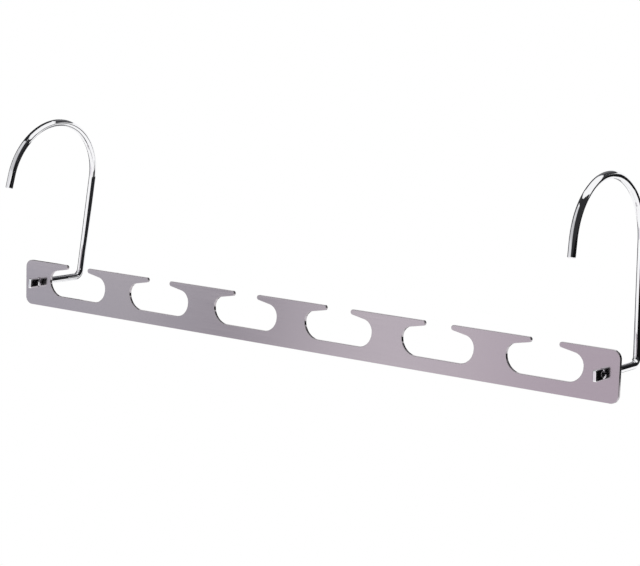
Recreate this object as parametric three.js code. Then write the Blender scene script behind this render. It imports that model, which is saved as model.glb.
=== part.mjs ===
// Cascading hanger: a slotted sheet-steel bar carried by two swivelling wire hooks.
// Units are millimetres. +X runs along the bar, -Y is the front, +Z is up.
// The origin is on the closet rod, midway between the two hook crowns.
import * as THREE from 'three';

// Bar, a stamped steel strip
const BAR_LENGTH = 360;
const BAR_HEIGHT = 23.9;
const SHEET = 1.6;
const BAR_CORNER_R = 4.1;
const EDGE_BREAK = 0.2;

// Slots that take the garment hangers, open at the top through a narrow mouth
const SLOT_COUNT = 6;
const END_WEB = 17.95;
const SLOT_LENGTH = 39.6;
const SLOT_FLOOR = 6.6;
const SLOT_LOWER_R = 7.8;
const SLOT_UPPER_R = 5.6;
const MOUTH_WIDTH = 14.4;
const LIP_TIP_R = 1.25;
const LIP_SLOPE = THREE.MathUtils.degToRad(10.7);

// Wire hooks, one bent wire each
const WIRE_D = 3.8;
const LEG_LENGTH = 32.2;
const FOOT_BEND_R = 4.2;
const SHANK_LEAN = THREE.MathUtils.degToRad(1.5);
const CROWN_R = 30.7;
const CROWN_RISE = 56.0;
const CROWN_TURN = THREE.MathUtils.degToRad(173);
const TIP_LENGTH = 7.0;
const TIP_ROUND = 0.5;

// Flattened wire ends that hold each hook in its hole
const HOLE_INSET = 8.8;
const HOLE_HEIGHT = 12.4;
const HOLE_CLEARANCE = 0.3;
const FACE_CLEARANCE = 0.4;
const SPADE_REACH = 6.3;
const SPADE_FLARE = 0.6;
const SPADE_WIDTH = 2.3;
const SPADE_HEIGHT = 5.2;
const SPADE_ROUND = 0.7;
const PINCH_LENGTH = 4.6;
const FLAT_SQUARENESS = 4;
const FLARE_SQUARENESS = 3;

// Angles at which the free-swinging hooks stand, both towards the middle of the bar
const LEFT_HOOK_LEAN = THREE.MathUtils.degToRad(7.4);
const RIGHT_HOOK_LEAN = THREE.MathUtils.degToRad(1.8);

// Facets round the wire, along each arc of the bar's outline and round the rims of the wire's ends
const WIRE_SIDES = 16;
const ARC_STEPS = 4;
const CROWN_STEPS = 30;
const BEND_STEPS = 7;
const RIM_STEPS = 3;

// Positions that follow from the sizes above
const SLOT_PITCH = (BAR_LENGTH - SLOT_LENGTH - 2 * END_WEB) / (SLOT_COUNT - 1);
const WIRE_R = WIRE_D / 2;
const HOLE_X = BAR_LENGTH / 2 - HOLE_INSET;
const SHANK_LENGTH = (CROWN_RISE - CROWN_R * Math.sin(SHANK_LEAN)) / Math.cos(SHANK_LEAN);
const CROWN_Y = LEG_LENGTH + SHANK_LENGTH * Math.sin(SHANK_LEAN) - CROWN_R * Math.cos(SHANK_LEAN);
const SEAT_RISE = CROWN_RISE + CROWN_R - WIRE_R;
const MEAN_LEAN_DROP = (Math.cos(LEFT_HOOK_LEAN) + Math.cos(RIGHT_HOOK_LEAN)) / 2;
const FRONT_Y = -CROWN_Y;
const HOLE_Z = -SEAT_RISE * MEAN_LEAN_DROP;
const BAR_BOTTOM_Z = HOLE_Z - HOLE_HEIGHT;

function material(name, color, roughness) {
  return new THREE.MeshStandardMaterial({ name, color, roughness, metalness: 1 });
}

const satinSteel = material('satin_steel', 0xa8a2a8, 0.3);
const chromeWire = material('chrome_wire', 0xd4d6da, 0.08);

// Half of one slot's edge, from the mouth's lip to the floor, drawn towards the slot's middle.
// Each lip ends in a full round, its underside drops away from the mouth, and two corner
// arcs lead round the slot's end to the floor.
function slotCorners() {
  const end = SLOT_LENGTH / 2;
  const tip = { x: MOUTH_WIDTH / 2 + LIP_TIP_R, z: BAR_HEIGHT - LIP_TIP_R };
  const down = { x: -Math.sin(LIP_SLOPE), z: -Math.cos(LIP_SLOPE) };
  const upperX = end - SLOT_UPPER_R;
  const run = (upperX - tip.x - down.x * (LIP_TIP_R + SLOT_UPPER_R)) / Math.cos(LIP_SLOPE);
  const upperZ = tip.z + down.z * (LIP_TIP_R + SLOT_UPPER_R) - run * Math.sin(LIP_SLOPE);
  return {
    tip,
    upper: { x: upperX, z: upperZ },
    lower: { x: end - SLOT_LOWER_R, z: SLOT_FLOOR + SLOT_LOWER_R },
  };
}

// Cuts one slot into the top edge while the outline runs from right to left.
function drawSlot(shape, x) {
  const { tip, upper, lower } = slotCorners();
  const half = Math.PI / 2;
  shape.absarc(x + tip.x, tip.z, LIP_TIP_R, half, 3 * half - LIP_SLOPE, false);
  shape.absarc(x + upper.x, upper.z, SLOT_UPPER_R, half - LIP_SLOPE, 0, true);
  shape.absarc(x + lower.x, lower.z, SLOT_LOWER_R, 0, -half, true);
  shape.absarc(x - lower.x, lower.z, SLOT_LOWER_R, 3 * half, 2 * half, true);
  shape.absarc(x - upper.x, upper.z, SLOT_UPPER_R, 2 * half, half + LIP_SLOPE, true);
  shape.absarc(x - tip.x, tip.z, LIP_TIP_R, LIP_SLOPE - half, half, false);
}

function hookHole(x) {
  const hole = new THREE.Path();
  const radius = WIRE_R + HOLE_CLEARANCE;
  for (let quarter = 0; quarter < 4; quarter += 1) {
    const start = (quarter * Math.PI) / 2;
    hole.absarc(x, HOLE_HEIGHT, radius, start, start + Math.PI / 2, false);
  }
  return hole;
}

function slottedBar() {
  const right = BAR_LENGTH / 2;
  const quarter = Math.PI / 2;
  const r = BAR_CORNER_R;
  const shape = new THREE.Shape();
  shape.absarc(-right + r, r, r, 2 * quarter, 3 * quarter, false);
  shape.absarc(right - r, r, r, 3 * quarter, 4 * quarter, false);
  shape.absarc(right - r, BAR_HEIGHT - r, r, 0, quarter, false);
  for (let i = SLOT_COUNT - 1; i >= 0; i -= 1) {
    drawSlot(shape, (i - (SLOT_COUNT - 1) / 2) * SLOT_PITCH);
  }
  shape.absarc(-right + r, BAR_HEIGHT - r, r, quarter, 2 * quarter, false);
  shape.closePath();
  shape.holes.push(hookHole(-HOLE_X), hookHole(HOLE_X));

  const geometry = new THREE.ExtrudeGeometry(shape, {
    depth: SHEET - 2 * EDGE_BREAK,
    curveSegments: ARC_STEPS,
    bevelEnabled: true,
    bevelThickness: EDGE_BREAK,
    bevelSize: EDGE_BREAK,
    bevelOffset: -EDGE_BREAK,
    bevelSegments: 1,
  });
  geometry.rotateX(Math.PI / 2);
  geometry.translate(0, FRONT_Y + SHEET - EDGE_BREAK, BAR_BOTTOM_Z);
  return geometry;
}

// One station of the wire: its place in the hook's plane, its heading there, and its section.
function station(y, z, heading, width = WIRE_D, height = WIRE_D, squareness = 2) {
  return { y, z, heading, width, height, squareness };
}

function flatStation(y, width = SPADE_WIDTH, height = SPADE_HEIGHT) {
  return station(y, 0, 0, width, height, FLAT_SQUARENESS);
}

// Halfway between the round wire and a flat.
function flareStation(y) {
  return station(y, 0, 0, (SPADE_WIDTH + WIRE_D) / 2, (SPADE_HEIGHT + WIRE_D) / 2, FLARE_SQUARENESS);
}

// Rings of a wire end with a rounded rim: how far each stands back and by how much it is narrower.
function rimRings(radius) {
  const rings = [];
  for (let i = 0; i <= RIM_STEPS; i += 1) {
    const angle = (i / RIM_STEPS) * (Math.PI / 2);
    rings.push({ back: radius * (1 - Math.sin(angle)), less: 2 * radius * (1 - Math.cos(angle)) });
  }
  return rings;
}

// The straight leg: spade in front of the bar, round through the hole, pinched behind it.
function legStations() {
  const shoulder = -FACE_CLEARANCE;
  const back = SHEET + FACE_CLEARANCE;
  const pinchEnd = back + PINCH_LENGTH;
  const end = rimRings(SPADE_ROUND).reverse();
  return [
    ...end.map((r) => flatStation(-SPADE_REACH + r.back, SPADE_WIDTH - r.less, SPADE_HEIGHT - r.less)),
    flatStation(shoulder - SPADE_FLARE),
    flareStation(shoulder - SPADE_FLARE / 2),
    station(shoulder, 0, 0),
    station(back, 0, 0),
    flareStation(back + SPADE_FLARE / 2),
    flatStation(back + SPADE_FLARE),
    flatStation(pinchEnd),
    station(pinchEnd + SPADE_FLARE, 0, 0),
  ];
}

function arcStations(centreY, centreZ, radius, from, turn, steps) {
  const list = [];
  for (let i = 0; i <= steps; i += 1) {
    const heading = from + (turn * i) / steps;
    const y = centreY + radius * Math.sin(heading);
    const z = centreZ - radius * Math.cos(heading);
    list.push(station(y, z, heading));
  }
  return list;
}

// The last straight stretch, cut off square and rounded at its rim.
function tipStations(start) {
  const along = (s) => [start.y + s * Math.cos(start.heading), start.z + s * Math.sin(start.heading)];
  return rimRings(TIP_ROUND).map((r) => {
    const size = WIRE_D - r.less;
    return station(...along(TIP_LENGTH - r.back), start.heading, size, size);
  });
}

// The whole wire in its own plane, with the hole's axis at z = 0 and the bar's front at y = 0.
function hookStations() {
  const bendTurn = Math.PI / 2 - SHANK_LEAN;
  const bendRun = FOOT_BEND_R * Math.tan(bendTurn / 2);
  const bend = arcStations(LEG_LENGTH - bendRun, FOOT_BEND_R, FOOT_BEND_R, 0, bendTurn, BEND_STEPS);
  const crown = arcStations(CROWN_Y, CROWN_RISE, CROWN_R, bendTurn, CROWN_TURN, CROWN_STEPS);
  return [...legStations(), ...bend, ...crown, ...tipStations(crown[crown.length - 1])];
}

// A superellipse ring at one station: round wire at squareness 2, flat-sided above that.
function ringPoints(at) {
  const points = [];
  const round = (value) => Math.sign(value) * Math.abs(value) ** (2 / at.squareness);
  for (let i = 0; i < WIRE_SIDES; i += 1) {
    const angle = ((i + 0.5) / WIRE_SIDES) * 2 * Math.PI;
    const across = (at.width / 2) * round(Math.cos(angle));
    const up = (at.height / 2) * round(Math.sin(angle));
    points.push(across, at.y - up * Math.sin(at.heading), at.z + up * Math.cos(at.heading));
  }
  return points;
}

function loft(stations) {
  const positions = stations.flatMap(ringPoints);
  const index = [];
  for (let s = 0; s < stations.length - 1; s += 1) {
    for (let i = 0; i < WIRE_SIDES; i += 1) {
      const a = s * WIRE_SIDES + i;
      const b = s * WIRE_SIDES + ((i + 1) % WIRE_SIDES);
      index.push(a, a + WIRE_SIDES, b, b, a + WIRE_SIDES, b + WIRE_SIDES);
    }
  }
  const last = (stations.length - 1) * WIRE_SIDES;
  for (let i = 1; i < WIRE_SIDES - 1; i += 1) {
    index.push(0, i, i + 1);
    index.push(last, last + i + 1, last + i);
  }
  const geometry = new THREE.BufferGeometry();
  geometry.setAttribute('position', new THREE.Float32BufferAttribute(positions, 3));
  geometry.setIndex(index);
  geometry.computeVertexNormals();
  return geometry;
}

// A hook stands in its hole at x, turned about the hole's axis by its lean.
function wireHook(x, lean) {
  const geometry = loft(hookStations());
  geometry.rotateY(lean);
  geometry.translate(x, FRONT_Y, HOLE_Z);
  return geometry;
}

function piece(name, geometry, look) {
  const mesh = new THREE.Mesh(geometry, look);
  mesh.name = name;
  return mesh;
}

const hanger = new THREE.Group();
hanger.name = 'cascading_hanger';
hanger.add(piece('slotted_bar', slottedBar(), satinSteel.clone()));
hanger.add(piece('left_hook', wireHook(-HOLE_X, LEFT_HOOK_LEAN), chromeWire.clone()));
hanger.add(piece('right_hook', wireHook(HOLE_X, -RIGHT_HOOK_LEAN), chromeWire.clone()));

export default hanger;
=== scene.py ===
# %% [markdown]
# A cascading hanger in three pieces: one flat steel bar with six open slots, and two bent wire
# hooks that swing in holes at its ends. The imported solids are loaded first, because they give the
# bar's place and length and the bodies that move. All lengths below are written in millimetres, as
# on a drawing, and one factor turns them to metres.

# %% Load the solids
import math

import bmesh
import bpy
from mathutils import Matrix, Vector


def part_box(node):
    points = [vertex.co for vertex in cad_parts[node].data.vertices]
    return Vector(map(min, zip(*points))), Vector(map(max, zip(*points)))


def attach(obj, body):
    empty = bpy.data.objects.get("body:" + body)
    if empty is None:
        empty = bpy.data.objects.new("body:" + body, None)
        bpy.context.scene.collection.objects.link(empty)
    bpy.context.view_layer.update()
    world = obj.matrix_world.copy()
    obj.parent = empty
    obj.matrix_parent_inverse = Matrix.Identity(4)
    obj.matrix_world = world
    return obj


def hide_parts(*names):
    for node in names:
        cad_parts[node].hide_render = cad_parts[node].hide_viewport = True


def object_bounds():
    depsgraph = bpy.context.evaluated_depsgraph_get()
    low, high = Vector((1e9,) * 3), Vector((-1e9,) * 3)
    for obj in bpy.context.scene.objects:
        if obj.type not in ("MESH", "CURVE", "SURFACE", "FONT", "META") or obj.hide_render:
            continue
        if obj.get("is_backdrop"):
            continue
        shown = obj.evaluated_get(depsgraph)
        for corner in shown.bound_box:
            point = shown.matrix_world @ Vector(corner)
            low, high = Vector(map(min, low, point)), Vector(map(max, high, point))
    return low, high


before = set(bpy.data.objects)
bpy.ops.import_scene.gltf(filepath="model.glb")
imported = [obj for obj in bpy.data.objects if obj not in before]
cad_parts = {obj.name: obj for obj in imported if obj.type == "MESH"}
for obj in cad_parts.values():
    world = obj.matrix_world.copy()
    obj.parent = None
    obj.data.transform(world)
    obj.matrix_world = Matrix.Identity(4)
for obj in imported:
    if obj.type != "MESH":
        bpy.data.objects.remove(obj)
solid_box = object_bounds()
MM = 0.001

# %% [markdown]
# Three small helpers serve the whole lesson. The first writes a colour as the eye names it, an
# sRGB hex value, and turns it into the linear numbers that the renderer counts with. The second
# adds one node to a tree with its settings and links, so a tree reads like a parts list. The third
# starts a material with an empty tree.

# %% Helpers for colours and nodes
def linear(code):
    """A hex colour as linear red, green, blue and full alpha, by the sRGB curve."""
    channels = [int(code[i:i + 2], 16) / 255 for i in (1, 3, 5)]
    straight = [c / 12.92 if c <= 0.04045 else ((c + 0.055) / 1.055) ** 2.4 for c in channels]
    return (*straight, 1.0)


def add(tree, kind, settings, inputs):
    """One node in a tree. Inputs are plain values, a socket, or a list of sockets."""
    made = tree.nodes.new(kind)
    for name, value in settings.items():
        setattr(made, name, value)
    for key, value in inputs.items():
        for part in value if isinstance(value, list) else [value]:
            if isinstance(part, bpy.types.NodeSocket):
                tree.links.new(part, made.inputs[key])
            else:
                made.inputs[key].default_value = part
    return made.outputs


def empty_material(name):
    """A new material and its node tree, still empty."""
    material = bpy.data.materials.new(name)
    material.use_nodes = True
    material.node_tree.nodes.clear()
    return material, material.node_tree


print("mid grey in linear numbers:", [round(c, 3) for c in linear("#808080")])

# %% [markdown]
# The bar is stainless sheet steel, stamped and polished on a soft wheel. Polishing leaves a nearly
# mirror-smooth face that is still a little uneven: it shows fine lines along the bar and a slow
# waviness from rolling. A plain grey metal would look like painted card, so the roughness changes
# along the polishing lines and a faint bump bends the reflections.

# %% Polished sheet steel
# Real polishing lines are a few hundredths of a millimetre wide. They are drawn coarser, to show.
POLISH_LINE, POLISH_STROKE = 0.5 * MM, 30 * MM
SHEET_WAVE = 60 * MM
LINE_DETAIL, WAVE_DETAIL = 2.0, 1.0
LINE_HEIGHT, LINE_STRENGTH = 0.05 * MM, 0.02
WAVE_HEIGHT, WAVE_STRENGTH = 1.0 * MM, 0.1
STEEL_SMOOTH, STEEL_HAZY = 0.1, 0.17
STEEL_COOL, STEEL_WARM = "#bab4ba", "#c0b9bd"
# Nearly all values of a noise pattern lie between these two.
NOISE_LOW, NOISE_HIGH = 0.3, 0.7


def polished_sheet_steel():
    """Stainless sheet, wheel polished along its length: a soft mirror with faint lines."""
    material, tree = empty_material("polished_sheet_steel")
    place = add(tree, "ShaderNodeTexCoord", {}, {})["Object"]
    stroke = add(tree, "ShaderNodeMapping", {}, {
        "Vector": place,
        "Scale": (1 / POLISH_STROKE, 1 / POLISH_LINE, 1 / POLISH_LINE),
    })["Vector"]
    lines = add(tree, "ShaderNodeTexNoise", {}, {
        "Vector": stroke, "Scale": 1.0, "Detail": LINE_DETAIL,
    })["Fac"]
    wave = add(tree, "ShaderNodeTexNoise", {}, {
        "Vector": place, "Scale": 1 / SHEET_WAVE, "Detail": WAVE_DETAIL,
    })["Fac"]
    roughness = add(tree, "ShaderNodeMapRange", {}, {
        "Value": lines, "From Min": NOISE_LOW, "From Max": NOISE_HIGH,
        "To Min": STEEL_SMOOTH, "To Max": STEEL_HAZY,
    })["Result"]
    tone = add(tree, "ShaderNodeMix", {"data_type": "RGBA"}, {
        0: wave, 6: linear(STEEL_COOL), 7: linear(STEEL_WARM),
    })[2]
    rolled = add(tree, "ShaderNodeBump", {}, {
        "Height": wave, "Strength": WAVE_STRENGTH, "Distance": WAVE_HEIGHT,
    })["Normal"]
    normal = add(tree, "ShaderNodeBump", {}, {
        "Height": lines, "Strength": LINE_STRENGTH, "Distance": LINE_HEIGHT, "Normal": rolled,
    })["Normal"]
    shader = add(tree, "ShaderNodeBsdfPrincipled", {}, {
        "Base Color": tone, "Metallic": 1.0, "Roughness": roughness, "Normal": normal,
    })["BSDF"]
    add(tree, "ShaderNodeOutputMaterial", {}, {"Surface": shader})
    return material


sheet_steel = polished_sheet_steel()
print("material:", sheet_steel.name, "with roughness", STEEL_SMOOTH, "to", STEEL_HAZY)

# %% [markdown]
# The hooks are drawn steel wire with a bright chrome plate. Drawing leaves very fine marks on the
# wire, and plating levels them, so the surface is close to a mirror with a trace of haze. The haze
# is a slow change of roughness, and a faint grain keeps the reflections from being perfect.

# %% Chrome-plated wire
# Real drawing marks are a few hundredths of a millimetre wide. They are drawn coarser, to show.
DRAW_MARK, HAZE_PATCH = 0.8 * MM, 4.8 * MM
MARK_DETAIL, HAZE_DETAIL = 1.0, 3.0
MARK_HEIGHT, MARK_STRENGTH = 0.05 * MM, 0.02
CHROME_SMOOTH, CHROME_HAZY = 0.03, 0.06
CHROME_TONE = "#f6f6f8"


def chrome_plated_wire():
    """Drawn steel wire under bright chrome: a clear mirror, a little hazy in patches."""
    material, tree = empty_material("chrome_plated_wire")
    place = add(tree, "ShaderNodeTexCoord", {}, {})["Object"]
    haze = add(tree, "ShaderNodeTexNoise", {}, {
        "Vector": place, "Scale": 1 / HAZE_PATCH, "Detail": HAZE_DETAIL,
    })["Fac"]
    marks = add(tree, "ShaderNodeTexNoise", {}, {
        "Vector": place, "Scale": 1 / DRAW_MARK, "Detail": MARK_DETAIL,
    })["Fac"]
    roughness = add(tree, "ShaderNodeMapRange", {}, {
        "Value": haze, "From Min": NOISE_LOW, "From Max": NOISE_HIGH,
        "To Min": CHROME_SMOOTH, "To Max": CHROME_HAZY,
    })["Result"]
    normal = add(tree, "ShaderNodeBump", {}, {
        "Height": marks, "Strength": MARK_STRENGTH, "Distance": MARK_HEIGHT,
    })["Normal"]
    shader = add(tree, "ShaderNodeBsdfPrincipled", {}, {
        "Base Color": linear(CHROME_TONE), "Metallic": 1.0, "Roughness": roughness, "Normal": normal,
    })["BSDF"]
    add(tree, "ShaderNodeOutputMaterial", {}, {"Surface": shader})
    return material


chrome = chrome_plated_wire()
print("material:", chrome.name, "with roughness", CHROME_SMOOTH, "to", CHROME_HAZY)

# %% [markdown]
# Both kinds of piece are grown by a node tree from a few named sizes. The first helper starts such
# a tree, the second ends it, and the third runs it on an object and keeps only the finished plain
# mesh. A modifier takes its values by each socket's identifier, which stays the same if a label is
# changed. A small bevel can follow, because every stamped edge is broken a little.

# %% Helpers for node-built pieces
EDGE_SEGMENTS, EDGE_ANGLE = 3, math.radians(40)


def start_tree(name, sizes):
    """A geometry tree with named inputs; returns it with its input sockets."""
    tree = bpy.data.node_groups.new(name, "GeometryNodeTree")
    tree.interface.new_socket("Geometry", in_out="INPUT", socket_type="NodeSocketGeometry")
    tree.interface.new_socket("Geometry", in_out="OUTPUT", socket_type="NodeSocketGeometry")
    for label, kind in sizes.items():
        tree.interface.new_socket(label, in_out="INPUT", socket_type="NodeSocket" + kind)
    return tree, tree.nodes.new("NodeGroupInput").outputs


def finish_tree(tree, geometry, finish):
    """Ends a tree in realized, smooth-shaded geometry that carries the finish from its input."""
    smooth = add(tree, "GeometryNodeSetShadeSmooth", {}, {"Geometry": geometry})["Geometry"]
    real = add(tree, "GeometryNodeRealizeInstances", {}, {"Geometry": smooth})["Geometry"]
    dressed = add(tree, "GeometryNodeSetMaterial", {}, {"Geometry": real, "Material": finish})
    add(tree, "NodeGroupOutput", {}, {"Geometry": dressed["Geometry"]})


def grow(name, seed, tree, lengths, others, edge_round=0.0):
    """Runs a tree on a seed object and returns a plain mesh object. Lengths are in millimetres."""
    bpy.context.scene.collection.objects.link(seed)
    maker = seed.modifiers.new("grow", "NODES")
    maker.node_group = tree
    values = {label: length * MM for label, length in lengths.items()}
    values.update(others)
    for socket in tree.interface.items_tree:
        if socket.name in values:
            maker[socket.identifier] = values[socket.name]
    if edge_round:
        edge = seed.modifiers.new("edge", "BEVEL")
        edge.width = edge_round * MM
        edge.segments = EDGE_SEGMENTS
        edge.limit_method = "ANGLE"
        edge.angle_limit = EDGE_ANGLE
        edge.harden_normals = True
    graph = bpy.context.evaluated_depsgraph_get()
    mesh = bpy.data.meshes.new_from_object(seed.evaluated_get(graph), depsgraph=graph)
    mesh.name = name
    bpy.data.objects.remove(seed)
    piece = bpy.data.objects.new(name, mesh)
    bpy.context.scene.collection.objects.link(piece)
    return piece


print("edges are rounded in", EDGE_SEGMENTS, "steps")

# %% [markdown]
# Each slot is a flat-floored pocket with two round corners at each end. It opens at the top
# between two lips that thin towards the mouth and end in a small full round. One outline drawn
# from tangent arcs gives that shape, and a thin block of it serves as the punch.

# %% The slot punch
BAR_HEIGHT, SHEET = 23.9, 1.6
SLOT_LENGTH, SLOT_FLOOR = 39.6, 6.6
SLOT_LOWER_R, SLOT_UPPER_R = 7.8, 5.6
MOUTH_WIDTH, LIP_TIP_R, LIP_SLOPE = 14.4, 1.25, math.radians(10.7)
PUNCH_REACH = 3.0
ARC_STEPS = 14


def arc(x, z, radius, start, end):
    """Points along an arc, in degrees anticlockwise from +X."""
    angles = [math.radians(start + (end - start) * i / ARC_STEPS) for i in range(ARC_STEPS + 1)]
    return [(x + radius * math.cos(a), z + radius * math.sin(a)) for a in angles]


def slot_edge():
    """Right half of a slot's edge, from above its mouth down to the floor."""
    slope = math.degrees(LIP_SLOPE)
    tip_x, tip_z = MOUTH_WIDTH / 2 + LIP_TIP_R, BAR_HEIGHT - LIP_TIP_R
    reach = LIP_TIP_R + SLOT_UPPER_R
    upper_x = SLOT_LENGTH / 2 - SLOT_UPPER_R
    run = (upper_x - tip_x + reach * math.sin(LIP_SLOPE)) / math.cos(LIP_SLOPE)
    upper_z = tip_z - reach * math.cos(LIP_SLOPE) - run * math.sin(LIP_SLOPE)
    lower_x, lower_z = SLOT_LENGTH / 2 - SLOT_LOWER_R, SLOT_FLOOR + SLOT_LOWER_R
    return (
        [(tip_x, BAR_HEIGHT + PUNCH_REACH)]
        + arc(tip_x, tip_z, LIP_TIP_R, 90, 270 - slope)
        + arc(upper_x, upper_z, SLOT_UPPER_R, 90 - slope, 0)
        + arc(lower_x, lower_z, SLOT_LOWER_R, 0, -90)
    )


def slot_punch():
    """A block with the slot's outline, a little deeper than the sheet on both faces."""
    right = slot_edge()
    outline = right + [(-x, z) for x, z in reversed(right)]
    block = bmesh.new()
    corners = [block.verts.new((x * MM, -PUNCH_REACH * MM, z * MM)) for x, z in outline]
    face = block.faces.new(corners)
    grown = bmesh.ops.extrude_face_region(block, geom=[face])["geom"]
    moved = [v for v in grown if isinstance(v, bmesh.types.BMVert)]
    bmesh.ops.translate(block, verts=moved, vec=(0, (SHEET + 2 * PUNCH_REACH) * MM, 0))
    bmesh.ops.recalc_face_normals(block, faces=block.faces)
    mesh = bpy.data.meshes.new("slot_punch")
    block.to_mesh(mesh)
    block.free()
    return bpy.data.objects.new("slot_punch", mesh)


punch = slot_punch()
bpy.context.scene.collection.objects.link(punch)
print("slot punch corners:", len(punch.data.vertices) // 2)

# %% [markdown]
# The bar could be one long outline filled with a face, but on the real one a plain strip is
# punched, and the tree does the same. It rounds a rectangle and thickens it, sets the punch out
# along a line of points, sets a drill at both ends, and cuts all slots and holes at once.

# %% The blank strip and its drills
CORNER_POINTS, DRILL_SIDES = 12, 48
DRILL_DEPTH = 4 * PUNCH_REACH
WELD_GAP = 0.001
UPRIGHT = (math.pi / 2, 0, 0)


def blank_strip(tree, size):
    """A flat strip with rounded corners, standing on its long edge."""
    half = add(tree, "ShaderNodeMath", {"operation": "MULTIPLY"}, {0: size["Height"], 1: 0.5})[0]
    border = add(tree, "GeometryNodeCurvePrimitiveQuadrilateral", {}, {
        "Width": size["Length"], "Height": size["Height"],
    })["Curve"]
    rounded = add(tree, "GeometryNodeFilletCurve", {"mode": "POLY"}, {
        "Curve": border, "Radius": size["Corner radius"], "Count": CORNER_POINTS,
    })["Curve"]
    face = add(tree, "GeometryNodeFillCurve", {"mode": "NGONS"}, {"Curve": rounded})["Mesh"]
    depth = add(tree, "ShaderNodeCombineXYZ", {}, {"Z": size["Thickness"]})[0]
    walls = add(tree, "GeometryNodeExtrudeMesh", {}, {
        "Mesh": face, "Offset": depth, "Offset Scale": 1.0, "Individual": False,
    })["Mesh"]
    under = add(tree, "GeometryNodeFlipFaces", {}, {"Mesh": face})["Mesh"]
    both = add(tree, "GeometryNodeJoinGeometry", {}, {"Geometry": [walls, under]})["Geometry"]
    closed = add(tree, "GeometryNodeMergeByDistance", {}, {
        "Geometry": both, "Distance": WELD_GAP * MM,
    })["Geometry"]
    lift = add(tree, "ShaderNodeCombineXYZ", {}, {"Y": size["Thickness"], "Z": half})[0]
    return add(tree, "GeometryNodeTransform", {}, {
        "Geometry": closed, "Translation": lift, "Rotation": UPRIGHT,
    })["Geometry"]


def hole_drills(tree, size):
    """A round drill through each end of the strip."""
    drill = add(tree, "GeometryNodeMeshCylinder", {}, {
        "Vertices": DRILL_SIDES, "Radius": size["Hole radius"], "Depth": DRILL_DEPTH * MM,
    })["Mesh"]
    turned = add(tree, "GeometryNodeTransform", {}, {"Geometry": drill, "Rotation": UPRIGHT})[0]
    left = add(tree, "ShaderNodeMath", {"operation": "MULTIPLY"}, {0: size["Hole distance"], 1: -0.5})[0]
    first = add(tree, "ShaderNodeCombineXYZ", {}, {"X": left, "Z": size["Hole height"]})[0]
    across = add(tree, "ShaderNodeCombineXYZ", {}, {"X": size["Hole distance"]})[0]
    ends = add(tree, "GeometryNodeMeshLine", {}, {
        "Count": 2, "Start Location": first, "Offset": across,
    })["Mesh"]
    return add(tree, "GeometryNodeInstanceOnPoints", {}, {"Points": ends, "Instance": turned})[0]


print("drills have", DRILL_SIDES, "sides")

# %% [markdown]
# With the strip and the drills defined, the tree itself is short. The slots are copies of the punch
# on a line of points: a line needs only a start, a step and a count, so another number of slots is
# one changed input.

# %% The slotted strip as a tree
def strip_tree():
    """A rounded strip, slots punched along it, and a round hole near each end."""
    tree, size = start_tree("punched strip", {
        "Length": "Float", "Height": "Float", "Thickness": "Float", "Corner radius": "Float",
        "Slot count": "Int", "First slot": "Float", "Slot pitch": "Float", "Punch": "Object",
        "Hole radius": "Float", "Hole distance": "Float", "Hole height": "Float", "Finish": "Material",
    })
    start = add(tree, "ShaderNodeCombineXYZ", {}, {"X": size["First slot"]})[0]
    step = add(tree, "ShaderNodeCombineXYZ", {}, {"X": size["Slot pitch"]})[0]
    middles = add(tree, "GeometryNodeMeshLine", {}, {
        "Count": size["Slot count"], "Start Location": start, "Offset": step,
    })["Mesh"]
    shape = add(tree, "GeometryNodeObjectInfo", {}, {"Object": size["Punch"]})["Geometry"]
    slots = add(tree, "GeometryNodeInstanceOnPoints", {}, {"Points": middles, "Instance": shape})[0]
    cutters = add(tree, "GeometryNodeJoinGeometry", {}, {
        "Geometry": [slots, hole_drills(tree, size)],
    })["Geometry"]
    blocks = add(tree, "GeometryNodeRealizeInstances", {}, {"Geometry": cutters})["Geometry"]
    cut = add(tree, "GeometryNodeMeshBoolean", {"operation": "DIFFERENCE", "solver": "EXACT"}, {
        "Mesh 1": blank_strip(tree, size), "Mesh 2": blocks,
    })["Mesh"]
    finish_tree(tree, cut, size["Finish"])
    return tree


punched_strip = strip_tree()
print("strip tree:", len(punched_strip.nodes), "nodes")

# %% [markdown]
# The real bar is one stamping, and here it is one run of the tree. The slots are shared out evenly
# between two end webs, which carry the holes for the hooks. The tree works from the strip's lower
# front edge, so the finished mesh only has to be moved to where the solid's lower corner is.

# %% The bar
BAR_CORNER_R, EDGE_ROUND = 4.1, 0.25
SLOT_COUNT, END_WEB = 6, 17.95
WIRE_R, HOLE_CLEARANCE, HOLE_INSET, HOLE_HEIGHT = 1.9, 0.3, 8.8, 12.4

bar_low, bar_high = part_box("slotted_bar")
bar_length = (bar_high.x - bar_low.x) / MM
slot_pitch = (bar_length - SLOT_LENGTH - 2 * END_WEB) / (SLOT_COUNT - 1)
hole_distance = bar_length - 2 * HOLE_INSET
strip_lengths = {
    "Length": bar_length,
    "Height": BAR_HEIGHT,
    "Thickness": SHEET,
    "Corner radius": BAR_CORNER_R,
    "First slot": -slot_pitch * (SLOT_COUNT - 1) / 2,
    "Slot pitch": slot_pitch,
    "Hole radius": WIRE_R + HOLE_CLEARANCE,
    "Hole distance": hole_distance,
    "Hole height": HOLE_HEIGHT,
}
strip_others = {"Slot count": SLOT_COUNT, "Punch": punch, "Finish": sheet_steel}
strip_seed = bpy.data.objects.new("strip", bpy.data.meshes.new("strip"))
bar = grow("slotted_bar_sheet", strip_seed, punched_strip, strip_lengths, strip_others, EDGE_ROUND)
bar.data.transform(Matrix.Translation((0, bar_low.y, bar_low.z)))
bpy.data.objects.remove(punch)
print("bar:", round(bar_length, 2), "mm long, slots every", round(slot_pitch, 2), "mm")
print("bar faces:", len(bar.data.polygons))

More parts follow.
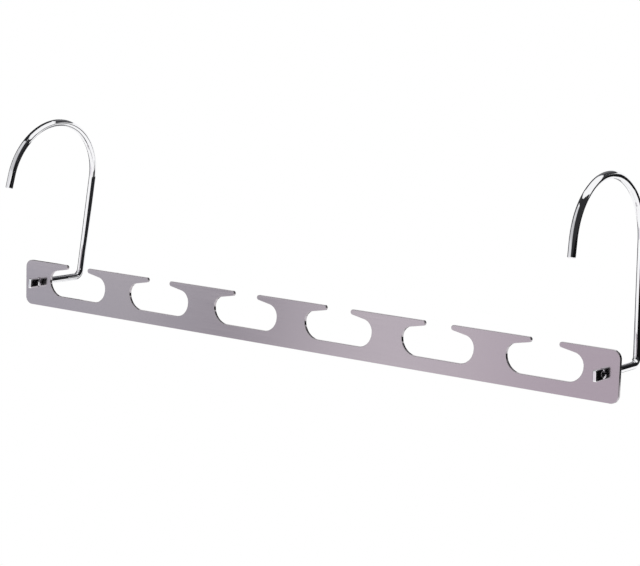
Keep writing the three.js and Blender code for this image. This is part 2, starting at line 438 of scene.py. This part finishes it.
# %% [markdown]
# A hook is one wire. From its flattened front end it runs back through the hole, turns up behind
# the bar, rises as a shank, goes over the rod in a round crown and ends in a short straight tip.
# All of it lies in one plane, so the path is a list of points in depth and height, with the hole's
# axis at height 0 and the bar's front at depth 0. Points crowd where the wire is pressed and at
# its ends, because those places change shape quickly.

# %% The hook's path
LEG_LENGTH, FOOT_BEND_R = 32.2, 4.2
SHANK_LEAN = math.radians(1.5)
CROWN_R, CROWN_RISE, CROWN_TURN, CROWN_ARCS = 30.7, 56.0, 173.0, 8
TIP_LENGTH, TIP_ROUND = 7.0, 0.5
SPADE_REACH, SPADE_ROUND = 6.3, 0.7
PRESSED_END, RING_STEP = 8.0, 0.1

shank_length = (CROWN_RISE - CROWN_R * math.sin(SHANK_LEAN)) / math.cos(SHANK_LEAN)
crown_depth = LEG_LENGTH + shank_length * math.sin(SHANK_LEAN) - CROWN_R * math.cos(SHANK_LEAN)


def rim(radius):
    """Distances from a wire's end at which rings are needed to draw its rounded rim."""
    return [radius * (1 - math.sin(math.pi / 2 * i / ARC_STEPS)) for i in range(ARC_STEPS + 1)]


def hook_path():
    """Depth and height of points along the wire's middle line, from the spade to the tip."""
    turn = 90 - math.degrees(SHANK_LEAN)
    run = FOOT_BEND_R * math.tan(math.radians(turn) / 2)
    points = [(back - SPADE_REACH, 0.0) for back in reversed(rim(SPADE_ROUND))]
    while points[-1][0] < PRESSED_END:
        points.append((points[-1][0] + RING_STEP, 0.0))
    points += arc(LEG_LENGTH - run, FOOT_BEND_R, FOOT_BEND_R, -90, turn - 90)
    swept = CROWN_TURN / CROWN_ARCS
    for i in range(CROWN_ARCS):
        begin = turn - 90 + swept * i
        points += arc(crown_depth, CROWN_RISE, CROWN_R, begin, begin + swept)[1 if i else 0:]
    heading = math.radians(turn + CROWN_TURN)
    y, z = points[-1]
    for back in rim(TIP_ROUND):
        along = TIP_LENGTH - back
        points.append((y + along * math.cos(heading), z + along * math.sin(heading)))
    return points


path = hook_path()
print("hook path points:", len(path), "and shank", round(shank_length, 1), "mm long")

# %% [markdown]
# Where the wire passes the bar, a press has squeezed it from round to flat-sided. The flat in front
# is the spade that shows beside the hole, and the one behind keeps the wire from slipping forward.
# The flats could be separate blocks, but then a seam would show. Here each point of the round leg
# is moved outwards or inwards by one rule, so the wire stays one skin. Both ends of the wire are
# cut square with a small rounded rim, which takes more off the closer a ring is to the end.

# %% The press that shapes the wire
FACE_CLEARANCE, SPADE_FLARE = 0.4, 0.6
SPADE_WIDTH, SPADE_HEIGHT, PINCH_LENGTH = 2.3, 5.2, 4.6
# A section of squareness 2 is round. The solid's flats have 4, and these are a little squarer.
FLAT_SQUARENESS = 5
EASED = {"interpolation_type": "SMOOTHSTEP"}


def rim_cut(tree, near, radius):
    """How much a rounded rim takes off, from nothing at its radius to all of it at the end."""
    share = add(tree, "ShaderNodeMapRange", {}, {
        "Value": near, "From Min": 0.0, "From Max": radius, "To Min": 1.0, "To Max": 0.0,
    })["Result"]
    squared = add(tree, "ShaderNodeMath", {"operation": "POWER"}, {0: share, 1: 2.0})[0]
    rest = add(tree, "ShaderNodeMath", {"operation": "SUBTRACT"}, {0: 1.0, 1: squared})[0]
    height = add(tree, "ShaderNodeMath", {"operation": "SQRT"}, {0: rest})[0]
    gone = add(tree, "ShaderNodeMath", {"operation": "SUBTRACT"}, {0: 1.0, 1: height})[0]
    return add(tree, "ShaderNodeMath", {"operation": "MULTIPLY"}, {0: gone, 1: radius})[0]


def pressed_share(tree, size, depth):
    """How flat the wire is at a depth: 1 on the spade and on the pinch behind, 0 where it is round."""
    spade = add(tree, "ShaderNodeMapRange", EASED, {
        "Value": depth, "From Min": size["Spade start"], "From Max": size["Spade end"],
        "To Min": 1.0, "To Max": 0.0,
    })["Result"]
    rise = add(tree, "ShaderNodeMapRange", EASED, {
        "Value": depth, "From Min": size["Pinch start"], "From Max": size["Pinch full"],
    })["Result"]
    fall = add(tree, "ShaderNodeMapRange", EASED, {
        "Value": depth, "From Min": size["Pinch end"], "From Max": size["Pinch gone"],
        "To Min": 1.0, "To Max": 0.0,
    })["Result"]
    pinch = add(tree, "ShaderNodeMath", {"operation": "MULTIPLY"}, {0: rise, 1: fall})[0]
    return add(tree, "ShaderNodeMath", {"operation": "ADD"}, {0: spade, 1: pinch})[0]


def pressed_place(tree, size, spot):
    """Where a point of the round leg goes when the press has closed."""
    flat = pressed_share(tree, size, spot["Y"])
    power = add(tree, "ShaderNodeMapRange", {}, {
        "Value": flat, "To Min": 1.0, "To Max": 2 / FLAT_SQUARENESS,
    })["Result"]
    from_end = add(tree, "ShaderNodeMath", {"operation": "ADD"}, {0: spot["Y"], 1: size["Spade reach"]})[0]
    spade_cut = rim_cut(tree, from_end, size["Spade round"])
    pressed = {"Y": spot["Y"]}
    for axis, half in (("X", "Flat half width"), ("Z", "Flat half height")):
        wide = add(tree, "ShaderNodeMapRange", {}, {
            "Value": flat, "To Min": size["Wire radius"], "To Max": size[half],
        })["Result"]
        kept = add(tree, "ShaderNodeMath", {"operation": "SUBTRACT"}, {0: wide, 1: spade_cut})[0]
        far = add(tree, "ShaderNodeMath", {"operation": "ABSOLUTE"}, {0: spot[axis]})[0]
        share = add(tree, "ShaderNodeMath", {"operation": "DIVIDE"}, {0: far, 1: size["Wire radius"]})[0]
        boxed = add(tree, "ShaderNodeMath", {"operation": "POWER"}, {0: share, 1: power})[0]
        out = add(tree, "ShaderNodeMath", {"operation": "MULTIPLY"}, {0: boxed, 1: kept})[0]
        side = add(tree, "ShaderNodeMath", {"operation": "SIGN"}, {0: spot[axis]})[0]
        pressed[axis] = add(tree, "ShaderNodeMath", {"operation": "MULTIPLY"}, {0: out, 1: side})[0]
    return add(tree, "ShaderNodeCombineXYZ", {}, pressed)[0]


print("spade section:", SPADE_WIDTH, "by", SPADE_HEIGHT, "mm")

# %% [markdown]
# The tree runs a round profile along the path, as a die draws wire. Near the tip the profile's
# scale falls off, which rounds the rim there. Only points low on the hook go through the press, so
# the crown and the tip keep their round section.

# %% The wire as a tree
WIRE_SIDES = 80
LEG_ZONE = 4.0


def wire_tree():
    """A round wire along a path, rounded at its rims and pressed flat before and behind the bar."""
    tree, size = start_tree("bent wire", {
        "Wire radius": "Float", "Tip round": "Float", "Spade round": "Float", "Spade reach": "Float",
        "Spade end": "Float", "Spade start": "Float", "Pinch start": "Float", "Pinch full": "Float",
        "Pinch end": "Float", "Pinch gone": "Float", "Flat half width": "Float",
        "Flat half height": "Float", "Finish": "Material",
    })
    along = add(tree, "GeometryNodeSplineParameter", {}, {})["Length"]
    whole = add(tree, "GeometryNodeSplineLength", {}, {})["Length"]
    left = add(tree, "ShaderNodeMath", {"operation": "SUBTRACT"}, {0: whole, 1: along})[0]
    tip_cut = rim_cut(tree, left, size["Tip round"])
    lost = add(tree, "ShaderNodeMath", {"operation": "DIVIDE"}, {0: tip_cut, 1: size["Wire radius"]})[0]
    scale = add(tree, "ShaderNodeMath", {"operation": "SUBTRACT"}, {0: 1.0, 1: lost})[0]
    section = add(tree, "GeometryNodeCurvePrimitiveCircle", {}, {
        "Resolution": WIRE_SIDES, "Radius": size["Wire radius"],
    })["Curve"]
    wire = add(tree, "GeometryNodeCurveToMesh", {}, {
        "Curve": size["Geometry"], "Profile Curve": section, "Scale": scale, "Fill Caps": True,
    })["Mesh"]
    place = add(tree, "GeometryNodeInputPosition", {}, {})["Position"]
    spot = add(tree, "ShaderNodeSeparateXYZ", {}, {"Vector": place})
    on_leg = add(tree, "FunctionNodeCompare", {"operation": "LESS_THAN"}, {
        "A": spot["Z"], "B": LEG_ZONE * MM,
    })["Result"]
    shaped = add(tree, "GeometryNodeSetPosition", {}, {
        "Geometry": wire, "Selection": on_leg, "Position": pressed_place(tree, size, spot),
    })["Geometry"]
    finish_tree(tree, shaped, size["Finish"])
    return tree


bent_wire = wire_tree()
print("wire tree:", len(bent_wire.nodes), "nodes")

# %% [markdown]
# The two hooks are the same bent wire. They swing free in their holes, so each stands at its own
# small lean along the bar. One loop grows both: it makes the wire upright at the origin, then leans
# it about the hole's axis and moves it into its hole. The square end faces are marked sharp, so
# that shading doesn't round them.

# %% The two hooks
CAP_ANGLE = math.radians(50)
LEFT_LEAN, RIGHT_LEAN = math.radians(7.4), math.radians(-1.8)


def path_curve(points):
    """A curve object through the path's points, in the hook's own plane."""
    curve = bpy.data.curves.new("hook_path", "CURVE")
    curve.dimensions = "3D"
    spline = curve.splines.new("POLY")
    spline.points.add(len(points) - 1)
    for point, (y, z) in zip(spline.points, points):
        point.co = (0, y * MM, z * MM, 1)
    return bpy.data.objects.new("hook_path", curve)


pinch_start = SHEET + FACE_CLEARANCE
pinch_end = pinch_start + PINCH_LENGTH
wire_lengths = {
    "Wire radius": WIRE_R,
    "Tip round": TIP_ROUND,
    "Spade round": SPADE_ROUND,
    "Spade reach": SPADE_REACH,
    "Spade start": -FACE_CLEARANCE - SPADE_FLARE,
    "Spade end": -FACE_CLEARANCE,
    "Pinch start": pinch_start,
    "Pinch full": pinch_start + SPADE_FLARE,
    "Pinch end": pinch_end,
    "Pinch gone": pinch_end + SPADE_FLARE,
    "Flat half width": SPADE_WIDTH / 2,
    "Flat half height": SPADE_HEIGHT / 2,
}
# The last two hold each hook's frame, upright at its hole and leaning with the wire.
hooks, in_hole, in_hook = {}, {}, {}
for body, side, lean in (("left_hook", -1, LEFT_LEAN), ("right_hook", 1, RIGHT_LEAN)):
    hook = grow(body + "_wire", path_curve(path), bent_wire, wire_lengths, {"Finish": chrome})
    hook.data.set_sharp_from_angle(angle=CAP_ANGLE)
    hole = Vector((side * hole_distance / 2 * MM, bar_low.y, bar_low.z + HOLE_HEIGHT * MM))
    in_hole[body] = Matrix.Translation(hole)
    in_hook[body] = in_hole[body] @ Matrix.Rotation(lean, 4, "Y")
    hook.data.transform(in_hook[body])
    hooks[body] = hook
    print(hook.name, "leans", round(math.degrees(lean), 2), "degrees,", len(hook.data.polygons), "faces")

# %% [markdown]
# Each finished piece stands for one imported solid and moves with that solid's body, so the hooks
# swing in their holes at every pose.

# %% Tie the pieces to their bodies
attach(bar, "bar")
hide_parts("slotted_bar")
for body, hook in hooks.items():
    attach(hook, body)
    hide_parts(body)
print("pieces:", [bar.name] + [hook.name for hook in hooks.values()])

# %% [markdown]
# Bright metal shows its surroundings more than itself, so the studio is half of its look. The room
# is a white tent that lights from all sides, over a pale paper floor. The light on the object stays
# at a plain level, and only what the eye or a mirror sees directly is pure white.

# %% The white tent and the floor
FLOOR_DROP, FLOOR_SIZE = 700, 9000
PURE_WHITE, TENT_WHITE, PAPER_WHITE = "#ffffff", "#f4f4f6", "#f2f2f0"
TENT_LIGHT = 0.8


def white_to_view(tree, seen, lit):
    """Mixes two shaders so that the eye and its reflections get the first one."""
    ray = add(tree, "ShaderNodeLightPath", {}, {})
    glossy = add(tree, "ShaderNodeMath", {"operation": "MAXIMUM"}, {
        0: ray["Is Camera Ray"], 1: ray["Is Glossy Ray"],
    })[0]
    direct = add(tree, "ShaderNodeMath", {"operation": "MAXIMUM"}, {
        0: glossy, 1: ray["Is Transmission Ray"],
    })[0]
    return add(tree, "ShaderNodeMixShader", {}, {"Fac": direct, 1: lit, 2: seen})["Shader"]


world = bpy.data.worlds.new("white tent")
world.use_nodes = True
sky = world.node_tree
sky.nodes.clear()
tent_seen = add(sky, "ShaderNodeBackground", {}, {"Color": linear(PURE_WHITE), "Strength": 1.0})[0]
tent_lit = add(sky, "ShaderNodeBackground", {}, {"Color": linear(TENT_WHITE), "Strength": TENT_LIGHT})[0]
add(sky, "ShaderNodeOutputWorld", {}, {"Surface": white_to_view(sky, tent_seen, tent_lit)})
bpy.context.scene.world = world

# Matt paper off a roll: a clean white ground to the eye, and a soft light from below on the metal.
paper, tree = empty_material("pale_paper_floor")
paper_seen = add(tree, "ShaderNodeEmission", {}, {"Color": linear(PURE_WHITE), "Strength": 1.0})[0]
paper_lit = add(tree, "ShaderNodeBsdfDiffuse", {}, {"Color": linear(PAPER_WHITE)})[0]
add(tree, "ShaderNodeOutputMaterial", {}, {"Surface": white_to_view(tree, paper_seen, paper_lit)})
far = FLOOR_SIZE / 2 * MM
floor_z = bar_low.z - FLOOR_DROP * MM
floor_corners = [(x, y, floor_z) for x, y in ((-far, -far), (far, -far), (far, far), (-far, far))]
floor_mesh = bpy.data.meshes.new("floor")
floor_mesh.from_pydata(floor_corners, [], [(0, 1, 2, 3)])
floor_mesh.materials.append(paper)
floor = bpy.data.objects.new("floor", floor_mesh)
bpy.context.scene.collection.objects.link(floor)
floor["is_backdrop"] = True
print("floor at", round(floor_z, 3), "m")

# %% [markdown]
# In a tent that is white all over, chrome would have no outline. A studio therefore leaves gaps
# and hangs grey or black sheets, and each one becomes a line or a patch in the metal. A mirror
# shows directions, so a sheet is easiest to aim as a curved panel given by its bearing from the
# front and its angles above or below level. The eye doesn't see the panels, only the metal does.

# %% Helpers for sheets that the metal mirrors
ROOM_MIDDLE = Vector((0, 0, -50 * MM))
PANEL_ROWS = 6


def stage_sheet(name, columns, material):
    """A sheet through columns of corners, shown by mirrors only and marked as stage."""
    rows = len(columns[0])
    corners = [corner for column in columns for corner in column]
    faces = []
    for i in range(len(columns) - 1):
        for j in range(rows - 1):
            first = i * rows + j
            faces.append((first, first + 1, first + rows + 1, first + rows))
    mesh = bpy.data.meshes.new(name)
    mesh.from_pydata(corners, [], faces)
    mesh.materials.append(material)
    sheet = bpy.data.objects.new(name, mesh)
    bpy.context.scene.collection.objects.link(sheet)
    sheet.visible_camera = False
    sheet.visible_diffuse = False
    sheet.visible_shadow = False
    sheet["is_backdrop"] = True


def room_panel(name, distance, edges, material):
    """A curved panel. Each edge gives a bearing from the front, a lower and an upper angle."""
    columns = []
    for bearing, low, high in edges:
        turn = math.radians(bearing)
        column = []
        for i in range(PANEL_ROWS + 1):
            rise = math.radians(low + (high - low) * i / PANEL_ROWS)
            flat = math.cos(rise)
            ray = Vector((math.sin(turn) * flat, -math.cos(turn) * flat, math.sin(rise)))
            column.append(ROOM_MIDDLE + distance * MM * ray)
        columns.append(column)
    stage_sheet(name, columns, material)


def even_cloth(name, code):
    """Cloth of an even tone that neither brightens nor fades with the light on it."""
    material, tree = empty_material(name)
    glow = add(tree, "ShaderNodeEmission", {}, {"Color": linear(code), "Strength": 1.0})[0]
    add(tree, "ShaderNodeOutputMaterial", {}, {"Surface": glow})
    return material


print("panels are bent in", PANEL_ROWS, "rows")

# %% [markdown]
# The dark panels on the right draw the black line down the shanks and the dark walls in the slots.
# The arch and the walls on the left give the crowns their greys, and the panels behind reach the
# legs and the crowns' tops. Near panels shift between the two hooks, and far ones don't, so the
# distance is chosen by whether both hooks should show the same.

# %% Panels of the room
ROOM_R, TENT_R, SCREEN_R = 1500, 480, 330
PANELS = (
    ("dark_room_right", "#303032", TENT_R, [
        (30, 5, 70), (45, 5, 66), (60, 5, 59), (75, 5, 50),
        (90, 5, 37), (105, 5, 23), (120, 3, 8), (128, 1, 2)]),
    ("dark_waist_right", "#111112", TENT_R, [
        (30, -8, 5), (60, -8, 5), (105, -8, 5), (120, -8, 3), (140, -6, 2), (165, -4, 2)]),
    ("dim_edge_right", "#808082", TENT_R, [(22, 6, 60), (30, 4, 60)]),
    ("dark_low_right", "#141415", ROOM_R, [
        (20, -14, -5), (30, -15, -5), (54, -15, -4), (57, -25, -4), (95, -25, -4),
        (118, -25, -4), (125, -22, -4), (130, -13, 0), (158, -12, 2)]),
    ("dark_edge_right", "#1a1a1c", SCREEN_R, [(112, -10, 12), (124, -10, 15), (131, -10, 15)]),
    ("dark_arch_left", "#333335", ROOM_R, [
        (-125, 6, 22), (-110, 22, 42), (-95, 36, 54), (-80, 47, 62), (-60, 56, 68),
        (-30, 61, 73), (0, 62, 74), (25, 60, 72), (45, 54, 66)]),
    ("light_wall_left", "#dadadc", TENT_R, [(-64, 37, 54), (-30, 40, 61), (0, 40, 61), (22, 38, 58)]),
    ("grey_wall_left", "#c8c8ca", TENT_R, [(-64, 12, 38), (-30, 12, 40), (0, 12, 40), (22, 10, 38)]),
    ("pale_wall_left", "#e2e2e4", TENT_R, [(-64, 1, 12), (-40, 1, 12), (0, 3, 12), (22, 3, 10)]),
    ("dark_wall_left", "#4a4a4c", ROOM_R, [
        (-132, 2, 26), (-118, 3, 42), (-105, 4, 48), (-92, 5, 52), (-78, 7, 56), (-68, 9, 56)]),
    ("grey_strip_left", "#545456", ROOM_R, [(-118, -22, 12), (-70, -22, 12)]),
    ("dark_gap_behind", "#3c3c3e", ROOM_R, [(136, 6, 26), (150, 14, 44), (165, 22, 52)]),
    ("grey_gap_behind", "#6c6c6e", ROOM_R, [
        (165, 22, 52), (180, 26, 56), (195, 26, 56), (214, 24, 56)]),
    ("dark_gap_left", "#464648", ROOM_R, [(214, 20, 58), (225, 22, 60), (240, 26, 62), (252, 38, 62)]),
    ("grey_low_behind", "#7c7c7e", TENT_R, [(166, -40, -24), (190, -40, -24), (218, -40, -24)]),
    # A glowing grey sheet low in front: painted shade of the pale floor, as the metal mirrors it.
    ("grey_paper_front", "#d8d8da", ROOM_R, [(-60, -62, -36), (-20, -62, -34), (40, -60, -36)]),
)

for name, code, distance, edges in PANELS:
    room_panel(name, distance, edges, even_cloth(name, code))
print("panels standing:", len(PANELS))

# %% [markdown]
# The bar's flat face mirrors one narrow part of the room, low on the left. There hangs a glowing
# sheet of paper with painted soft folds: cool grey at its far end, painted shade for a fold, a
# painted bright middle and a warm end. The polished face picks up these tones as the slow change
# of colour along the bar.

# %% The paper with painted folds in front
PAINTED_FOLD_START, PAINTED_FOLD_END = -1200, -500
# Tones along the paper: the cool grey and the warm end are its tint. The dark fold is painted shade, and
# the bright middle is painted light.
PAINTED_FOLD_TONES = ((0.1, "#d3d5dc"), (0.24, "#dadbdf"), (0.34, "#c1bfc6"), (0.57, "#fbf7fb"), (0.9, "#e5dbe4"))
PAPER_FROM, PAPER_TO, PAPER_STEP = -60, -12, 4
PAPER_LOW, PAPER_HIGH = -26, -8


def paper_with_painted_folds():
    """Glowing paper whose tone changes along its length: a cool to warm tint, with painted shade and
    painted light where soft folds would be.
    """
    material, tree = empty_material("paper_with_painted_folds")
    place = add(tree, "ShaderNodeTexCoord", {}, {})["Object"]
    along = add(tree, "ShaderNodeSeparateXYZ", {}, {"Vector": place})["X"]
    share = add(tree, "ShaderNodeMapRange", {}, {
        "Value": along, "From Min": PAINTED_FOLD_START * MM, "From Max": PAINTED_FOLD_END * MM,
    })["Result"]
    tone = add(tree, "ShaderNodeValToRGB", {}, {"Fac": share})["Color"]
    ramp = tone.node.color_ramp
    ramp.interpolation = "EASE"
    first, *between, last = PAINTED_FOLD_TONES
    for stop, (position, code) in zip(ramp.elements, (first, last)):
        stop.position = position
        stop.color = linear(code)
    for position, code in between:
        ramp.elements.new(position).color = linear(code)
    glow = add(tree, "ShaderNodeEmission", {}, {"Color": tone, "Strength": 1.0})[0]
    add(tree, "ShaderNodeOutputMaterial", {}, {"Surface": glow})
    return material


paper_bearings = range(PAPER_FROM, PAPER_TO + 1, PAPER_STEP)
paper_edges = [(bearing, PAPER_LOW, PAPER_HIGH) for bearing in paper_bearings]
room_panel("folded_paper_front", ROOM_R, paper_edges, paper_with_painted_folds())
print("folded paper from", PAINTED_FOLD_START, "to", PAINTED_FOLD_END, "mm")

# %% [markdown]
# The last dark accents are narrow: black sides on both spades, and broad black lines on the left
# hook's shank, tip and crown. Far panels that draw them would blacken the whole bar in other views.
# So small cards stand a finger's width from the wire, as is usual with small bright things in a
# studio. Each card is dark on the face towards the wire and lets all light through from behind.

# %% Helper for cards close to a wire
SPADE_SHADE, WIRE_SHADE = "#0e0e0f", "#262628"


def wire_card(name, code, place, columns):
    """A one-sided card through columns of points, in the frame of a hole or of a hook."""
    material, tree = empty_material(name)
    glow = add(tree, "ShaderNodeEmission", {}, {"Color": linear(code), "Strength": 1.0})[0]
    clear = add(tree, "ShaderNodeBsdfTransparent", {}, {})[0]
    behind = add(tree, "ShaderNodeNewGeometry", {}, {})["Backfacing"]
    face = add(tree, "ShaderNodeMixShader", {}, {"Fac": behind, 1: glow, 2: clear})[0]
    add(tree, "ShaderNodeOutputMaterial", {}, {"Surface": face})
    placed = [[place @ (Vector(point) * MM) for point in column] for column in columns]
    stage_sheet(name, placed, material)


print("cards are", SPADE_SHADE, "at the spades and", WIRE_SHADE, "along the wire")

# %% [markdown]
# A spade is flat-sided, so a flat card does for each. It stands upright to the right of the hole
# and in front of the bar, and reaches a little above the hole's axis. The two differ only in how
# far away they stand, because each spade is seen from a slightly different side.

# %% Cards at the spades
SPADE_CARD_AWAY = {"left_hook": 10, "right_hook": 6.5}
SPADE_CARD_FAR, SPADE_CARD_NEAR = -20, -2
SPADE_CARD_LOW, SPADE_CARD_HIGH = -9, 1

for body, away in SPADE_CARD_AWAY.items():
    wire_card(body + "_spade_card", SPADE_SHADE, in_hole[body], [
        [(away, depth, SPADE_CARD_LOW), (away, depth, SPADE_CARD_HIGH)]
        for depth in (SPADE_CARD_FAR, SPADE_CARD_NEAR)
    ])
print("cards at the spades:", len(SPADE_CARD_AWAY))

# %% [markdown]
# A round wire mirrors a wide sweep of its surroundings, so its cards are bent round it like part of
# a pipe, one beside the shank and one beside the tip. Their slanted ends let the black line start
# and stop gradually. The crown is round in both directions, and a small roof follows it over the
# top and bends down on its outer side. All three lean with the hook.

# %% Cards along the left wire
SHANK_DEPTH, SHANK_CARD_R = 33.0, 18.0
SHANK_CARD_EDGES = [(13, 2, 4), (25, 2, 20), (37, 2, 53), (97, 2, 53), (127, 18, 53), (157, 38, 53)]
TIP_DEPTH, TIP_CARD_R = -28.0, 15.0
TIP_CARD_EDGES = [(100, 44, 74), (125, 44, 75), (150, 44, 76), (175, 44, 76), (200, 44, 76)]
ROOF_TURNS = (131, 108, 88)
ROOF_SECTION = [(1, 44), (-8, 43), (-15, 33)]


def bent_round(depth, radius, edges):
    """Columns on a round about an upright wire. Each edge gives a bearing and two heights."""
    columns = []
    for bearing, low, high in edges:
        turn = math.radians(bearing)
        x, y = radius * math.sin(turn), depth - radius * math.cos(turn)
        columns.append([(x, y, low), (x, y, high)])
    return columns


def over_crown(turns, section):
    """Columns over the crown. The section gives each point's side step and its reach from the middle."""
    columns = []
    for turn in turns:
        y, z = math.cos(math.radians(turn)), math.sin(math.radians(turn))
        columns.append([(x, crown_depth + reach * y, CROWN_RISE + reach * z) for x, reach in section])
    return columns


left_cards = {
    "shank_card": bent_round(SHANK_DEPTH, SHANK_CARD_R, SHANK_CARD_EDGES),
    "tip_card": bent_round(TIP_DEPTH, TIP_CARD_R, TIP_CARD_EDGES),
    "roof_card": over_crown(ROOF_TURNS, ROOF_SECTION),
}
for name, columns in left_cards.items():
    wire_card(name, WIRE_SHADE, in_hook["left_hook"], columns)
print("cards along the left wire:", len(left_cards))

# %% [markdown]
# The camera stands to the right of the middle and a little above, with a long lens and a slight
# roll, as in the photograph. Its place is measured from the bar's lower front edge. Three angles
# and a distance are easier to read and to adjust than a matrix, so the matrix is built from them.

# %% The camera
BEARING, HEIGHT_ANGLE, ROLL = (math.radians(a) for a in (36.69, 8.97, 1.73))
DISTANCE, AIM_X, AIM_Z = 956.17, 17.64, 34.0
FOCAL_PIXELS, IMAGE_WIDTH, SENSOR = 2000, 640, 36.0
SHIFT_RIGHT_PIXELS, SHIFT_UP_PIXELS = -0.75, 0.75

toward = Vector((
    math.sin(BEARING) * math.cos(HEIGHT_ANGLE),
    -math.cos(BEARING) * math.cos(HEIGHT_ANGLE),
    math.sin(HEIGHT_ANGLE),
))
level = Vector((math.cos(BEARING), math.sin(BEARING), 0))
upright = toward.cross(level)
right = math.cos(ROLL) * level + math.sin(ROLL) * upright
up = -math.sin(ROLL) * level + math.cos(ROLL) * upright
aim = Vector((AIM_X * MM, bar_low.y, bar_low.z + AIM_Z * MM))
lens = bpy.data.cameras.new("camera")
lens.sensor_fit = "HORIZONTAL"
lens.sensor_width = SENSOR
lens.lens = FOCAL_PIXELS * SENSOR / IMAGE_WIDTH
lens.shift_x = SHIFT_RIGHT_PIXELS / IMAGE_WIDTH
lens.shift_y = SHIFT_UP_PIXELS / IMAGE_WIDTH
camera = bpy.data.objects.new("camera", lens)
turned = Matrix((right, up, toward)).transposed().to_4x4()
camera.matrix_world = Matrix.Translation(aim + DISTANCE * MM * toward) @ turned
bpy.context.scene.collection.objects.link(camera)
bpy.context.scene.camera = camera
bpy.context.scene.view_settings.view_transform = "Standard"
print("camera at", [round(c, 3) for c in camera.matrix_world.translation])

# %% [markdown]
# The last cell prints the box of the imported solids and the box of the finished pieces. The
# finished pieces must not be bigger than the solids that they stand for.

# %% Print the finished size beside the solids
dressed_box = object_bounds()
sizes = {"solid": [list(c) for c in solid_box], "dressed": [list(c) for c in dressed_box]}
for label, corners in sizes.items():
    print(label, [[round(v, 5) for v in c] for c in corners])
